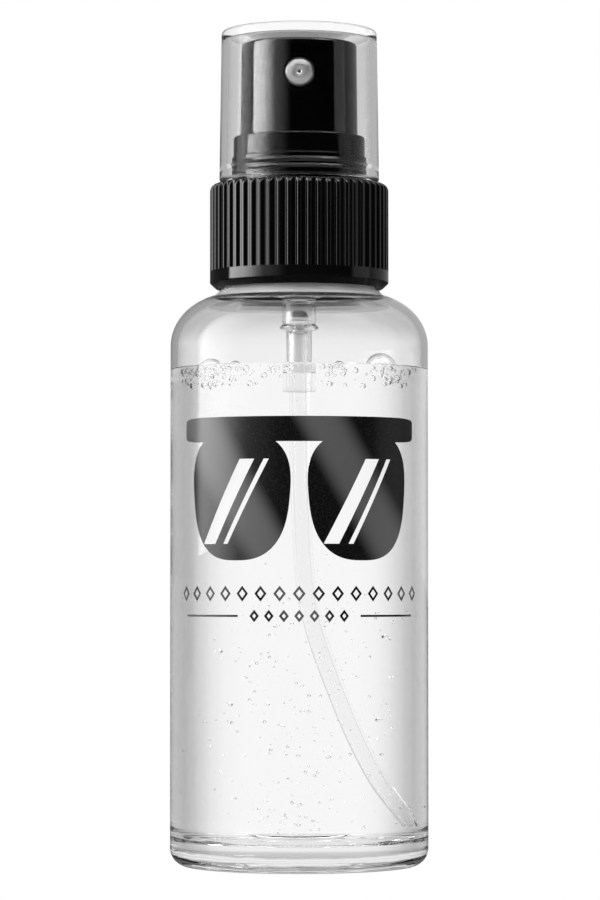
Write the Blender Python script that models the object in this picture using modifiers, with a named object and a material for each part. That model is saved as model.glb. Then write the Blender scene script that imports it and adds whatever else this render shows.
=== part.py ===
"""Lens cleaning spray: a 40 mm clear bottle with a ribbed 24-410 closure and a fine mist pump.

Metres, +Z up. The origin is the centre of the base, and the nozzle sprays towards -Y.
Every sub-part is one closed body. Pieces that touch in real life keep CLEARANCE between them.
"""
from math import cos, pi, sin, sqrt, tau

import bmesh
import bpy
from mathutils import Matrix, Vector, geometry

MM = 0.001
CLEARANCE = 0.3 * MM
MERGE = 1e-6

# Bottle
BODY_RADIUS = 20.0 * MM
WALL = 1.0 * MM
BASE_CORNER = 2.8 * MM
FLOOR_Z = 4.0 * MM
FLOOR_CORNER = 2.6 * MM
FOOT_INNER_RADIUS = 13.6 * MM
PUSH_UP = 0.8 * MM
SHOULDER_Z = 80.5 * MM
SHOULDER_CREST_Z = 88.3 * MM
SHOULDER_CREST_RADIUS = 13.3 * MM
NECK_FOOT_Z = 90.4 * MM
NECK_RADIUS = 10.75 * MM
NECK_BORE = 8.6 * MM
NECK_TOP_Z = 101.2 * MM
FILL_Z = 76.8 * MM

# 24-410 screw thread
THREAD_PITCH = 3.175 * MM
THREAD_TURNS = 1.5
NECK_THREAD_RADIUS = 10.85 * MM
NECK_THREAD_BAR = 0.8 * MM
NECK_THREAD_Z = 93.6 * MM
CLOSURE_THREAD_BAR = 0.75 * MM

# Closure with the seat for the overcap
CLOSURE_RADIUS = 13.9 * MM
CLOSURE_BORE = 12.1 * MM
CLOSURE_Z = 89.4 * MM
CLOSURE_CHAMFER = 0.9 * MM
RIB_COUNT = 56
RIB_DEPTH = 0.5 * MM
RIB_Z = 92.1 * MM
RIB_TOP_Z = 105.3 * MM
DECK_Z = 104.2 * MM
DECK_TOP_Z = 105.7 * MM
DECK_CORNER = 0.9 * MM
DECK_HOLE = 5.6 * MM
SEAT_BORE = 9.45 * MM
SEAT_RADIUS = 10.5 * MM
SEAT_BEAD_RADIUS = 10.7 * MM
SEAT_BEAD_Z = 108.6 * MM
SEAT_STEP_Z = 109.9 * MM
SEAT_TOP_RADIUS = 10.24 * MM
SEAT_TOP_Z = 113.0 * MM

# Pump housing, held under the closure deck by the stem collar
GASKET_Z = NECK_TOP_Z + CLEARANCE
GASKET_THICK = 0.9 * MM
GASKET_BORE = 5.0 * MM
FLANGE_RADIUS = 10.4 * MM
FLANGE_Z = GASKET_Z + GASKET_THICK + CLEARANCE
FLANGE_TOP_Z = DECK_Z - CLEARANCE
TURRET_TOP_Z = 106.5 * MM
BARREL_RADIUS = 4.4 * MM
BARREL_BORE = 3.6 * MM
SPRING_SEAT_Z = 90.9 * MM
CHAMBER_RADIUS = 2.65 * MM
CHAMBER_BORE = 2.0 * MM
KEEPER_BORE = 1.3 * MM
KEEPER_Z = 88.3 * MM
BALL_SEAT_Z = 84.6 * MM
BALL_SEAT_DEPTH = 1.0 * MM
INLET_BORE = 0.9 * MM
CHAMBER_LIP_RADIUS = 3.0 * MM
CHAMBER_LIP_Z = 83.2 * MM
CHAMBER_LIP_TOP_Z = 84.0 * MM
TAIL_RADIUS = 2.05 * MM
TAIL_BORE = 1.45 * MM
TAIL_Z = 73.1 * MM
BALL_RADIUS = 1.5 * MM

# Plunger: the stem, the valve rod plugged into it, the piston between them and the return spring
PRESS_TRAVEL = 4.5 * MM
PISTON_SLIP = 0.6 * MM
ROD_FLANGE_Z = 100.3 * MM
ROD_FLANGE_RADIUS = 2.6 * MM
ROD_RADIUS = 1.2 * MM
ROD_TAIL_Z = 95.6 * MM
ROD_PLUG_RADIUS = 0.4 * MM
STEM_Z = 101.6 * MM
STEM_RADIUS = 1.6 * MM
STEM_BORE = 0.7 * MM
STEM_TOP_Z = 116.5 * MM
STEM_RING_RADIUS = 2.5 * MM
STEM_RING_Z = TURRET_TOP_Z - 1.0 * MM
PISTON_Z = 101.65 * MM
PISTON_TOP_Z = STEM_RING_Z - CLEARANCE - PISTON_SLIP
PISTON_RADIUS = 3.3 * MM
PISTON_BORE = 1.9 * MM
SPRING_WIRE = 0.25 * MM
SPRING_TURNS = 6

# Stem collar: clips over the housing's turret and keeps the stem in
COLLAR_FLANGE_RADIUS = 6.6 * MM
COLLAR_FLANGE_Z = DECK_TOP_Z + CLEARANCE
COLLAR_TOP_Z = 107.8 * MM
COLLAR_FLANGE_THICK = 0.9 * MM

# Dip tube: its centre line runs straight down and bends to the corner of the base
TUBE_RADIUS = 1.15 * MM
TUBE_BORE = 0.75 * MM
TUBE_TOP_Z = 82.6 * MM
TUBE_ROUTE = ((0.2, 56.0), (1.2, 40.0), (5.0, 25.0), (9.2, 13.6), (13.6, 6.4))

# Actuator with its nozzle
ACTUATOR_Z = DECK_TOP_Z + PRESS_TRAVEL + 0.4 * MM
ACTUATOR_TOP_Z = 127.6 * MM
ACTUATOR_RADIUS = 8.95 * MM
ACTUATOR_SKIRT_RADIUS = 9.15 * MM
ACTUATOR_BORE = 7.6 * MM
ACTUATOR_CEILING_Z = 125.6 * MM
FINGER_DISH_DEPTH = 0.6 * MM
HUB_RADIUS = 3.0 * MM
HUB_Z = COLLAR_TOP_Z + PRESS_TRAVEL + 3.0 * CLEARANCE
NOZZLE_Z = 122.3 * MM
NOZZLE_RADIUS = 2.32 * MM
NOZZLE_LENGTH = 3.1 * MM
NOZZLE_FACE_Y = -8.85 * MM
NOZZLE_ORIFICE = 0.2 * MM
POST_RADIUS = 0.8 * MM

# Overcap
OVERCAP_Z = 106.2 * MM
OVERCAP_TOP_Z = 129.7 * MM
OVERCAP_RADIUS = 12.43 * MM
OVERCAP_TOP_RADIUS = 12.1 * MM
OVERCAP_WALL = 1.1 * MM
OVERCAP_BEAD = 0.3 * MM

COLLECTION_NAME = "lens_cleaning_spray"
CUTTERS_NAME = "cutters"


def start_scene():
    """Empties the scene and makes the collections for the parts and for the cutters."""
    for old in list(bpy.data.objects):
        bpy.data.objects.remove(old)
    for name in (COLLECTION_NAME, CUTTERS_NAME):
        bpy.context.scene.collection.children.link(bpy.data.collections.new(name))


def plastic(name, colour, roughness, alpha=1.0, metallic=0.0):
    """A Principled material with the colour and gloss of one sub-part."""
    material = bpy.data.materials.new(name)
    material.use_nodes = True
    shader = material.node_tree.nodes["Principled BSDF"]
    shader.inputs["Base Color"].default_value = (*colour, 1.0)
    shader.inputs["Roughness"].default_value = roughness
    shader.inputs["Metallic"].default_value = metallic
    shader.inputs["Alpha"].default_value = alpha
    return material


def place(name, mesh, material=None, collection=COLLECTION_NAME):
    """Links a mesh as an object; without a material it is a hidden cutter."""
    part = bpy.data.objects.new(name, mesh)
    bpy.data.collections[collection].objects.link(part)
    if material is not None:
        part.data.materials.append(material)
    return part


def as_cutter(part):
    """Marks an object as a tool for Booleans and not a sub-part."""
    part.hide_render = True
    part.display_type = "WIRE"
    return part


def turned(name, profile, steps, material=None):
    """A body turned about Z from (radius, height) points that run down its outer side."""
    mesh = bpy.data.meshes.new(name)
    points = [(radius, 0.0, height) for radius, height in profile]
    edges = [(i, i + 1) for i in range(len(points) - 1)]
    if profile[0][0] > 0.0:
        edges.append((len(points) - 1, 0))
    mesh.from_pydata(points, edges, [])
    cutter = material is None
    part = place(name, mesh, material, CUTTERS_NAME if cutter else COLLECTION_NAME)
    screw = part.modifiers.new("turn", "SCREW")
    screw.axis = "Z"
    screw.steps = steps
    screw.render_steps = steps
    screw.use_merge_vertices = True
    screw.merge_threshold = MERGE
    screw.use_smooth_shade = True
    return as_cutter(part) if cutter else part


def bolt(part, other, operation):
    """Joins another object to a part, or cuts it away, with an exact Boolean."""
    boolean = part.modifiers.new(other.name, "BOOLEAN")
    boolean.operation = operation
    boolean.solver = "EXACT"
    boolean.object = other


def arc(centre_radius, centre_z, radius, start, end, count):
    """Points along an arc in the (radius, height) plane; angles in degrees from +R towards +Z."""
    points = []
    for i in range(count + 1):
        angle = (start + (end - start) * i / count) * pi / 180.0
        points.append((centre_radius + radius * cos(angle), centre_z + radius * sin(angle)))
    return points


def tube_mesh(name, points, radius, sides_resolution):
    """A closed mesh that follows points as a round bar with filled ends."""
    curve = bpy.data.curves.new(name, "CURVE")
    curve.dimensions = "3D"
    curve.bevel_depth = radius
    curve.bevel_resolution = sides_resolution
    curve.render_resolution_u = 0
    curve.use_fill_caps = True
    spline = curve.splines.new("POLY")
    spline.points.add(len(points) - 1)
    for spline_point, position in zip(spline.points, points):
        spline_point.co = (*position, 1.0)
    bar = bpy.data.objects.new(name, curve)
    bpy.context.scene.collection.objects.link(bar)
    depsgraph = bpy.context.evaluated_depsgraph_get()
    mesh = bpy.data.meshes.new_from_object(bar.evaluated_get(depsgraph))
    bpy.data.objects.remove(bar)
    shape = bmesh.new()
    shape.from_mesh(mesh)
    bmesh.ops.remove_doubles(shape, verts=shape.verts, dist=MERGE)
    bmesh.ops.recalc_face_normals(shape, faces=shape.faces)
    shape.to_mesh(mesh)
    shape.free()
    return mesh


def helix(radius, start_z, rise, turns, points_per_turn):
    """Points along a right-handed helix about Z."""
    count = int(turns * points_per_turn)
    points = []
    for i in range(count + 1):
        angle = tau * i / points_per_turn
        height = start_z + rise * i / points_per_turn
        points.append((radius * cos(angle), radius * sin(angle), height))
    return points


def thread_bar(name, radius, start_z, bar_radius):
    """One and a half turns of round thread, as a tool to join to a neck or a closure."""
    points = helix(radius, start_z, THREAD_PITCH, THREAD_TURNS, 20)
    return as_cutter(place(name, tube_mesh(name, points, bar_radius, 1), None, CUTTERS_NAME))


def smooth(part, angle_degrees=35.0):
    """Shades a round piece smooth, apart from its sharp edges."""
    part.data.shade_smooth()
    part.data.set_sharp_from_angle(angle=angle_degrees * pi / 180.0)


def rod_along_y(name, radius, start_y, end_y, height, sides):
    """A round bar along Y, as a tool."""
    shape = bmesh.new()
    middle = Matrix.Translation((0.0, (start_y + end_y) / 2.0, height))
    lie_down = Matrix.Rotation(pi / 2.0, 4, "X")
    bmesh.ops.create_cone(
        shape, cap_ends=True, segments=sides, radius1=radius, radius2=radius,
        depth=abs(end_y - start_y), matrix=middle @ lie_down,
    )
    mesh = bpy.data.meshes.new(name)
    shape.to_mesh(mesh)
    shape.free()
    return as_cutter(place(name, mesh, None, CUTTERS_NAME))


def shoulder(offset, steps):
    """The shoulder from the neck down to the straight wall, moved inwards by offset."""
    sweep = BODY_RADIUS - SHOULDER_CREST_RADIUS
    rise = SHOULDER_CREST_Z - SHOULDER_Z
    points = []
    for step in range(steps, -1, -1):
        angle = step * 0.4 * pi / steps
        radius = BODY_RADIUS - sweep * (1.0 - cos(angle)) / (1.0 - cos(0.4 * pi))
        height = SHOULDER_Z + rise * sin(angle) / sin(0.4 * pi)
        points.append((radius - offset * cos(angle), height - offset * sin(angle)))
    return points


def make_bottle():
    """The bottle: a thick base with a foot ring, a round shoulder and a threaded neck."""
    glassy = plastic("bottle", (0.86, 0.9, 0.92), 0.05, alpha=0.25)
    inner_radius = BODY_RADIUS - WALL
    inner = [(0.0, FLOOR_Z)]
    inner += arc(inner_radius - FLOOR_CORNER, FLOOR_Z + FLOOR_CORNER, FLOOR_CORNER, -90, 0, 3)
    inner += shoulder(WALL, 4)[::-1]
    inner += [(NECK_BORE, NECK_FOOT_Z - WALL), (NECK_BORE, NECK_TOP_Z)]
    outer = [(NECK_RADIUS, NECK_TOP_Z), (NECK_RADIUS, NECK_FOOT_Z)]
    outer += shoulder(0.0, 5)
    outer += arc(BODY_RADIUS - BASE_CORNER, BASE_CORNER, BASE_CORNER, 0, -90, 3)
    outer += [(FOOT_INNER_RADIUS, 0.0), (FOOT_INNER_RADIUS - 2.0 * PUSH_UP, PUSH_UP)]
    outer += [(0.0, PUSH_UP)]
    bottle = turned("bottle", inner + outer, 36, glassy)
    thread = thread_bar("neck_thread", NECK_THREAD_RADIUS, NECK_THREAD_Z, NECK_THREAD_BAR)
    bolt(bottle, thread, "UNION")
    smooth(bottle)


def dip_route(top_z, overrun=0.0):
    """Points along the dip tube's centre line, with a straight overrun past its lower end."""
    knots = [Vector((0.0, 0.0, top_z)), Vector((0.0, 0.0, 72.0 * MM))]
    knots += [Vector((x * MM, 0.0, z * MM)) for x, z in TUBE_ROUTE]
    slopes = [Vector((0.0, 0.0, -1.0))]
    for before, after in zip(knots, knots[2:]):
        slopes.append((after - before).normalized())
    slopes.append((knots[-1] - knots[-2]).normalized())
    points = [knots[0]]
    for i in range(1, len(knots) - 1):
        reach = (knots[i + 1] - knots[i]).length / 3.0
        start_handle = knots[i] + slopes[i] * reach
        end_handle = knots[i + 1] - slopes[i + 1] * reach
        piece = geometry.interpolate_bezier(knots[i], start_handle, end_handle, knots[i + 1], 5)
        points += piece[:-1]
    points.append(knots[-1] + slopes[-1] * overrun)
    return points


def make_dip_tube():
    """The dip tube, open at both ends."""
    clear = plastic("dip_tube", (0.93, 0.94, 0.95), 0.25, alpha=0.6)
    tube = place("dip_tube", tube_mesh("dip_tube", dip_route(TUBE_TOP_Z), TUBE_RADIUS, 2), clear)
    bore_route = dip_route(TUBE_TOP_Z + MM, MM)
    bore_mesh = tube_mesh("dip_tube_bore", bore_route, TUBE_BORE, 1)
    bolt(tube, as_cutter(place("dip_tube_bore", bore_mesh, None, CUTTERS_NAME)), "DIFFERENCE")
    smooth(tube)


def make_cleaning_fluid():
    """The fluid, with room for the dip tube and the pump's tail."""
    watery = plastic("cleaning_fluid", (0.93, 0.97, 1.0), 0.02, alpha=0.3)
    radius = BODY_RADIUS - WALL - CLEARANCE
    corner = FLOOR_CORNER - CLEARANCE
    floor = FLOOR_Z + CLEARANCE
    profile = [(0.0, FILL_Z), (radius, FILL_Z)]
    profile += arc(radius - corner, floor + corner, corner, 0, -90, 3)
    profile += [(0.0, floor)]
    fluid = turned("cleaning_fluid", profile, 32, watery)
    route = dip_route(FILL_Z + MM, CLEARANCE)
    room_mesh = tube_mesh("tube_room", route, TUBE_RADIUS + CLEARANCE, 2)
    bolt(fluid, as_cutter(place("tube_room", room_mesh, None, CUTTERS_NAME)), "DIFFERENCE")
    tail_room = TAIL_RADIUS + CLEARANCE
    sump = [(0.0, FILL_Z + MM), (tail_room, FILL_Z + MM)]
    sump += [(tail_room, TAIL_Z - CLEARANCE), (0.0, TAIL_Z - CLEARANCE)]
    bolt(fluid, turned("tail_room", sump, 16), "DIFFERENCE")
    smooth(fluid)


def make_closure():
    """The ribbed screw closure with its inner thread, deck and overcap seat."""
    black = plastic("closure", (0.012, 0.012, 0.013), 0.22)
    body_radius = CLOSURE_RADIUS - RIB_DEPTH
    step = 0.35 * MM
    profile = [
        (SEAT_BORE, SEAT_TOP_Z),
        (SEAT_TOP_RADIUS - step, SEAT_TOP_Z),
        (SEAT_TOP_RADIUS, SEAT_TOP_Z - step),
        (SEAT_TOP_RADIUS, SEAT_STEP_Z),
        (SEAT_RADIUS, SEAT_STEP_Z - step / 2.0),
        (SEAT_RADIUS, SEAT_BEAD_Z + step),
        (SEAT_BEAD_RADIUS, SEAT_BEAD_Z),
        (SEAT_RADIUS, SEAT_BEAD_Z - step),
        (SEAT_RADIUS, DECK_TOP_Z),
    ]
    profile += arc(body_radius - DECK_CORNER, DECK_TOP_Z - DECK_CORNER, DECK_CORNER, 90, 0, 3)
    profile += [
        (body_radius, RIB_Z),
        (CLOSURE_RADIUS, RIB_Z),
        (CLOSURE_RADIUS, CLOSURE_Z + CLOSURE_CHAMFER),
        (CLOSURE_RADIUS - CLOSURE_CHAMFER, CLOSURE_Z),
        (CLOSURE_BORE + 2.0 * CLEARANCE, CLOSURE_Z),
        (CLOSURE_BORE, CLOSURE_Z + 2.0 * CLEARANCE),
        (CLOSURE_BORE, DECK_Z),
        (DECK_HOLE, DECK_Z),
        (DECK_HOLE, DECK_TOP_Z),
        (SEAT_BORE, DECK_TOP_Z),
    ]
    closure = turned("closure", profile, RIB_COUNT // 2, black)
    bolt(closure, closure_ribs(), "UNION")
    between_turns = NECK_THREAD_Z + THREAD_PITCH / 2.0
    thread = thread_bar("closure_thread", CLOSURE_BORE, between_turns, CLOSURE_THREAD_BAR)
    bolt(closure, thread, "UNION")
    smooth(closure)


def closure_ribs():
    """The ring of grip ribs, each rounded off at its top, as a tool to join to the closure."""
    shape = bmesh.new()
    root_radius = CLOSURE_RADIUS - 2.0 * RIB_DEPTH
    width = tau * CLOSURE_RADIUS / RIB_COUNT / 2.0
    foot_z = RIB_Z - CLEARANCE
    depth = CLOSURE_RADIUS - root_radius
    height = RIB_TOP_Z - foot_z
    middle = Vector((root_radius + depth / 2.0, 0.0, foot_z + height / 2.0))
    for i in range(RIB_COUNT):
        rib = bmesh.ops.create_cube(shape, size=1.0)["verts"]
        for vert in rib:
            vert.co = Vector((vert.co.x * depth, vert.co.y * width, vert.co.z * height)) + middle
            if vert.co.x > middle.x and vert.co.z > middle.z:
                vert.co.z -= DECK_CORNER
        turn = Matrix.Rotation(tau * (i + 0.5) / RIB_COUNT, 4, "Z")
        bmesh.ops.transform(shape, matrix=turn, verts=rib)
    mesh = bpy.data.meshes.new("closure_ribs")
    shape.to_mesh(mesh)
    shape.free()
    return as_cutter(place("closure_ribs", mesh, None, CUTTERS_NAME))


def make_neck_gasket():
    """The flat washer between the bottle's neck and the pump's flange."""
    rubbery = plastic("neck_gasket", (0.8, 0.8, 0.78), 0.6)
    top = GASKET_Z + GASKET_THICK
    profile = [
        (GASKET_BORE, top), (FLANGE_RADIUS, top), (FLANGE_RADIUS, GASKET_Z),
        (GASKET_BORE, GASKET_Z),
    ]
    smooth(turned("neck_gasket", profile, 24, rubbery))


def make_pump_housing():
    """The pump's barrel, ball chamber and tail, with the flange that the closure presses down."""
    natural = plastic("pump_housing", (0.88, 0.89, 0.9), 0.3, alpha=0.75)
    chamfer = 0.4 * MM
    shoulder_z = SPRING_SEAT_Z - 0.9 * MM
    keeper_foot = KEEPER_Z - chamfer
    outer = [
        (BARREL_BORE, TURRET_TOP_Z),
        (BARREL_RADIUS, TURRET_TOP_Z),
        (BARREL_RADIUS, FLANGE_TOP_Z),
        (FLANGE_RADIUS, FLANGE_TOP_Z),
        (FLANGE_RADIUS, FLANGE_Z),
        (BARREL_RADIUS, FLANGE_Z),
        (BARREL_RADIUS, shoulder_z + MM),
        (BARREL_RADIUS - MM, shoulder_z),
        (CHAMBER_RADIUS, shoulder_z),
        (CHAMBER_RADIUS, CHAMBER_LIP_TOP_Z),
        (CHAMBER_LIP_RADIUS, CHAMBER_LIP_TOP_Z),
        (CHAMBER_LIP_RADIUS, CHAMBER_LIP_Z),
        (TAIL_RADIUS, CHAMBER_LIP_Z),
        (TAIL_RADIUS, TAIL_Z),
    ]
    inner = [
        (TAIL_BORE, TAIL_Z),
        (TAIL_BORE, TUBE_TOP_Z + CLEARANCE),
        (INLET_BORE, TUBE_TOP_Z + CLEARANCE),
        (INLET_BORE, BALL_SEAT_Z - BALL_SEAT_DEPTH),
        (CHAMBER_BORE, BALL_SEAT_Z),
        (CHAMBER_BORE, keeper_foot),
        (KEEPER_BORE, KEEPER_Z),
        (CHAMBER_BORE, KEEPER_Z + chamfer),
        (CHAMBER_BORE, SPRING_SEAT_Z),
        (BARREL_BORE, SPRING_SEAT_Z),
    ]
    smooth(turned("pump_housing", outer + inner, 24, natural))


def make_inlet_ball():
    """The ball that shuts the inlet on the down stroke, just above its conical seat."""
    steel = plastic("inlet_ball", (0.7, 0.7, 0.72), 0.15, metallic=1.0)
    slope = (CHAMBER_BORE - INLET_BORE) / BALL_SEAT_DEPTH
    rise = ((BALL_RADIUS + CLEARANCE) * sqrt(1.0 + slope**2) - CHAMBER_BORE) / slope
    shape = bmesh.new()
    bmesh.ops.create_uvsphere(shape, u_segments=12, v_segments=8, radius=BALL_RADIUS)
    mesh = bpy.data.meshes.new("inlet_ball")
    shape.to_mesh(mesh)
    shape.free()
    ball = place("inlet_ball", mesh, steel)
    ball.location = (0.0, 0.0, BALL_SEAT_Z + rise)
    smooth(ball)


def make_valve_rod():
    """The valve rod: a plug in the stem's foot, the flange under the piston and a guide tail."""
    white = plastic("valve_rod", (0.9, 0.9, 0.9), 0.35)
    flange_top = ROD_FLANGE_Z + MM
    tip_z = ROD_TAIL_Z + ROD_RADIUS / 2.0
    profile = [
        (0.0, flange_top + 2.0 * MM),
        (ROD_PLUG_RADIUS, flange_top + 2.0 * MM),
        (ROD_PLUG_RADIUS, flange_top),
        (ROD_FLANGE_RADIUS, flange_top),
        (ROD_FLANGE_RADIUS, ROD_FLANGE_Z),
        (ROD_RADIUS, ROD_FLANGE_Z),
        (ROD_RADIUS, tip_z),
        (ROD_RADIUS / 2.0, ROD_TAIL_Z),
        (0.0, ROD_TAIL_Z),
    ]
    smooth(turned("valve_rod", profile, 20, white))


def make_return_spring():
    """The coil spring between the housing's seat and the valve rod's flange."""
    steel = plastic("return_spring", (0.62, 0.62, 0.64), 0.2, metallic=1.0)
    start = SPRING_SEAT_Z + CLEARANCE + SPRING_WIRE
    end = ROD_FLANGE_Z - CLEARANCE - SPRING_WIRE
    points = helix(ROD_FLANGE_RADIUS, start, (end - start) / SPRING_TURNS, SPRING_TURNS, 12)
    spring = place("return_spring", tube_mesh("return_spring", points, SPRING_WIRE, 1), steel)
    smooth(spring, 60.0)


def make_piston():
    """The piston: two sealing lips and a waist, sliding a little way along the stem."""
    milky = plastic("piston", (0.85, 0.86, 0.84), 0.45)
    lip = 0.7 * MM
    waist = PISTON_RADIUS - 0.6 * MM
    profile = [
        (PISTON_BORE, PISTON_TOP_Z),
        (PISTON_RADIUS, PISTON_TOP_Z),
        (PISTON_RADIUS, PISTON_TOP_Z - lip),
        (waist, PISTON_TOP_Z - 1.5 * lip),
        (waist, PISTON_Z + 1.5 * lip),
        (PISTON_RADIUS, PISTON_Z + lip),
        (PISTON_RADIUS, PISTON_Z),
        (PISTON_BORE, PISTON_Z),
    ]
    smooth(turned("piston", profile, 24, milky))


def make_pump_stem():
    """The hollow stem that carries the actuator, with the ring that keeps it in the collar."""
    white = plastic("pump_stem", (0.9, 0.9, 0.9), 0.35)
    profile = [
        (STEM_BORE, STEM_TOP_Z),
        (STEM_RADIUS, STEM_TOP_Z),
        (STEM_RADIUS, TURRET_TOP_Z),
        (STEM_RING_RADIUS, TURRET_TOP_Z),
        (STEM_RING_RADIUS, STEM_RING_Z),
        (STEM_RADIUS, STEM_RING_Z),
        (STEM_RADIUS, STEM_Z),
        (STEM_BORE, STEM_Z),
    ]
    smooth(turned("pump_stem", profile, 20, white))


def make_stem_collar():
    """The collar that clips over the housing's turret and holds the pump to the closure."""
    black = plastic("stem_collar", (0.02, 0.02, 0.022), 0.3)
    skirt_radius = DECK_HOLE - CLEARANCE
    skirt_bore = BARREL_RADIUS + CLEARANCE
    under_plate = TURRET_TOP_Z + CLEARANCE
    flange_top = COLLAR_FLANGE_Z + COLLAR_FLANGE_THICK
    profile = [
        (STEM_RADIUS + CLEARANCE, COLLAR_TOP_Z),
        (skirt_radius, COLLAR_TOP_Z),
        (skirt_radius, flange_top),
        (COLLAR_FLANGE_RADIUS, flange_top),
        (COLLAR_FLANGE_RADIUS, COLLAR_FLANGE_Z),
        (skirt_radius, COLLAR_FLANGE_Z),
        (skirt_radius, DECK_Z),
        (skirt_bore, DECK_Z),
        (skirt_bore, under_plate),
        (STEM_RADIUS + CLEARANCE, under_plate),
    ]
    smooth(turned("stem_collar", profile, 24, black))


def make_actuator():
    """The finger button: a hollow shell with the hub for the stem and the nozzle's boss."""
    black = plastic("actuator", (0.01, 0.01, 0.011), 0.12)
    edge = 0.5 * MM
    dish_radius = ACTUATOR_RADIUS - 3.0 * edge
    shell = [
        (0.0, ACTUATOR_TOP_Z - FINGER_DISH_DEPTH),
        (dish_radius * 0.6, ACTUATOR_TOP_Z - 0.7 * FINGER_DISH_DEPTH),
        (dish_radius, ACTUATOR_TOP_Z),
    ]
    shell += arc(ACTUATOR_RADIUS - edge, ACTUATOR_TOP_Z - edge, edge, 90, 0, 3)
    shell += [
        (ACTUATOR_SKIRT_RADIUS, ACTUATOR_Z),
        (ACTUATOR_BORE, ACTUATOR_Z),
        (ACTUATOR_BORE, ACTUATOR_CEILING_Z),
        (HUB_RADIUS, ACTUATOR_CEILING_Z),
        (HUB_RADIUS, HUB_Z),
        (0.0, HUB_Z),
    ]
    actuator = turned("actuator", shell, 32, black)
    pocket_radius = NOZZLE_RADIUS + CLEARANCE
    pocket_end = NOZZLE_FACE_Y + NOZZLE_LENGTH + CLEARANCE
    boss_radius = ACTUATOR_CEILING_Z - NOZZLE_Z + 0.3 * MM
    boss = rod_along_y(
        "nozzle_boss", boss_radius, -ACTUATOR_BORE - 0.5 * MM, -HUB_RADIUS / 2.0, NOZZLE_Z, 24
    )
    bolt(actuator, boss, "UNION")
    pocket = rod_along_y(
        "nozzle_pocket", pocket_radius, -ACTUATOR_RADIUS - MM, pocket_end, NOZZLE_Z, 24
    )
    bolt(actuator, pocket, "DIFFERENCE")
    post_front = pocket_end - 1.4 * MM
    post = rod_along_y("swirl_post", POST_RADIUS, post_front, pocket_end + MM, NOZZLE_Z, 16)
    bolt(actuator, post, "UNION")
    channel_z = NOZZLE_Z + POST_RADIUS + 0.45 * MM
    channel = rod_along_y("feed_channel", 0.35 * MM, pocket_end - 0.05 * MM, 0.2 * MM, channel_z, 8)
    bolt(actuator, channel, "DIFFERENCE")
    hub_bore = STEM_RADIUS + CLEARANCE
    riser_radius = STEM_BORE
    bore = [
        (0.0, channel_z + 0.6 * MM),
        (riser_radius, channel_z + 0.6 * MM),
        (riser_radius, STEM_TOP_Z + CLEARANCE),
        (hub_bore, STEM_TOP_Z + CLEARANCE),
        (hub_bore, HUB_Z - MM),
        (0.0, HUB_Z - MM),
    ]
    bolt(actuator, turned("stem_bore", bore, 20), "DIFFERENCE")
    smooth(actuator)


def make_nozzle_insert():
    """The nozzle insert: a cup with a domed face and a fine orifice, over the actuator's post."""
    silver = plastic("nozzle_insert", (0.55, 0.55, 0.56), 0.3, metallic=0.8)
    wall = 0.85 * MM
    face = 0.8 * MM
    dome = 0.35 * MM
    cup_bore = NOZZLE_RADIUS - wall
    profile = [
        (NOZZLE_ORIFICE, 0.0),
        (NOZZLE_RADIUS * 0.5, -dome * 0.25),
        (NOZZLE_RADIUS * 0.85, -dome * 0.72),
        (NOZZLE_RADIUS, -dome),
        (NOZZLE_RADIUS, -NOZZLE_LENGTH),
        (cup_bore, -NOZZLE_LENGTH),
        (cup_bore, -face - dome),
        (NOZZLE_ORIFICE, -face - dome),
    ]
    nozzle = turned("nozzle_insert", profile, 20, silver)
    nozzle.location = (0.0, NOZZLE_FACE_Y, NOZZLE_Z)
    nozzle.rotation_euler = (pi / 2.0, 0.0, 0.0)
    smooth(nozzle)


def make_overcap():
    """The clear dust cap, with a snap bead that grips the closure's seat."""
    clear = plastic("overcap", (0.9, 0.9, 0.91), 0.06, alpha=0.3)
    edge = 0.6 * MM
    inner_top = OVERCAP_TOP_Z - 1.2 * OVERCAP_WALL
    top_bore = OVERCAP_TOP_RADIUS - OVERCAP_WALL
    foot_bore = OVERCAP_RADIUS - OVERCAP_WALL
    bead_bore = foot_bore - OVERCAP_BEAD
    bead_z = SEAT_BEAD_Z - MM
    profile = [(0.0, OVERCAP_TOP_Z)]
    profile += arc(OVERCAP_TOP_RADIUS - edge, OVERCAP_TOP_Z - edge, edge, 90, 0, 3)
    profile += [
        (OVERCAP_RADIUS, OVERCAP_Z),
        (foot_bore, OVERCAP_Z),
        (foot_bore, bead_z - 0.5 * MM),
        (bead_bore, bead_z),
        (foot_bore, bead_z + 0.5 * MM),
        (top_bore, inner_top),
        (0.0, inner_top),
    ]
    smooth(turned("overcap", profile, 40, clear))


def join_to_axis(name, height, part_names, parent_axis=None):
    """An empty on the axis that parts move along or about, with those parts parented to it."""
    axis = bpy.data.objects.new(name, None)
    axis.location = (0.0, 0.0, height)
    axis.empty_display_size = 5.0 * MM
    bpy.data.collections[COLLECTION_NAME].objects.link(axis)
    parts = [bpy.data.objects[part_name] for part_name in part_names]
    to_local = Matrix.Translation((0.0, 0.0, -height))
    if parent_axis is not None:
        axis.parent = parent_axis
        axis.location.z = height - parent_axis.matrix_world.translation.z
    bpy.context.view_layer.update()
    for part in parts:
        part.parent = axis
        part.matrix_parent_inverse = to_local
    return axis


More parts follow.
